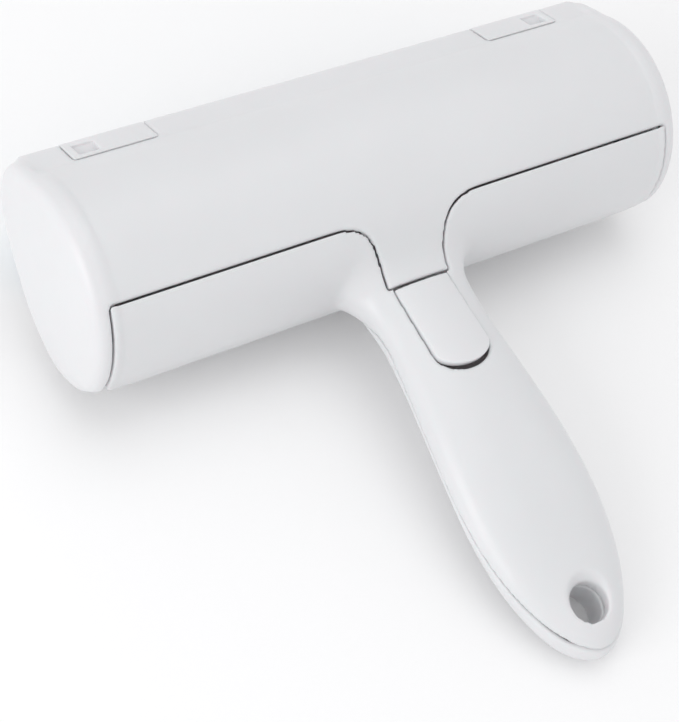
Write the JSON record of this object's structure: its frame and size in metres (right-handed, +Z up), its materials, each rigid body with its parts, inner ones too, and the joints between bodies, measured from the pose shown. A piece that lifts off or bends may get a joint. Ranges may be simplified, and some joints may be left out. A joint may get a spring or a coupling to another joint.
{
  "type": "pet hair roller",
  "caption": "Reusable pet hair roller: long head with a tipping fabric drum, a domed hinged lid over the hair chamber, and a rounded handle with a release button and hanging hole.",
  "frame": {"origin": "centre of the footprint on the table plane, with the roller lying on its drum and the tip of its handle", "axes": "+X along the drum, +Y from the handle towards the hinged far edge of the head, +Z up out of the lid side"},
  "size_m": [0.189, 0.1732, 0.0554],
  "materials": {
    "shell_plastic": "satin white moulded ABS",
    "inner_plastic": "satin off-white moulded ABS",
    "bearing_plastic": "smooth natural acetal",
    "steel": "bright drawn wire",
    "pick_up_fabric": "sky-blue directional pile with a diagonal twill"
  },
  "bodies": {
    "housing": {"base_shell": "shell_plastic", "handle_front": "shell_plastic", "hinge_rail": "shell_plastic", "rim_comb": "shell_plastic", "button_well": "inner_plastic", "end_wall_left": "inner_plastic", "end_wall_right": "inner_plastic", "hinge_bracket_left": "inner_plastic", "hinge_bracket_right": "inner_plastic", "hinge_pin_left": "steel", "hinge_pin_right": "steel", "axle_bushing_left": "bearing_plastic", "axle_bushing_right": "bearing_plastic", "button_pin": "steel", "button_spring": "steel"},
    "drum": {"drum_shell": "shell_plastic", "drum_cap_left": "inner_plastic", "drum_cap_right": "inner_plastic", "fabric_near": "pick_up_fabric", "fabric_far": "pick_up_fabric"},
    "lid": {"lid_shell": "shell_plastic", "lid_catch": "inner_plastic", "hinge_block_left": "shell_plastic", "hinge_block_right": "shell_plastic"},
    "button": {"button_cap": "shell_plastic", "button_lever": "inner_plastic"}
  },
  "joints": [
    {"name": "drum_rock", "type": "hinge", "parent": "housing", "child": "drum", "pos_m": [0, 0.05485, 0.0256], "axis": [1, 0, 0], "range_deg": [-20, 20]},
    {"name": "lid_hinge", "type": "hinge", "parent": "housing", "child": "lid", "pos_m": [0, 0.08323, 0.03943], "axis": [-1, 0, 0], "range_deg": [0, 100]},
    {"name": "button_press", "type": "hinge", "parent": "housing", "child": "button", "pos_m": [0, 0.00754, 0.02699], "axis": [1, 0, 0], "range_deg": [0, 6], "stiffness_Nm_per_rad": 0.06, "springref_deg": -11.46, "deforming": ["button_spring"]}
  ]
}
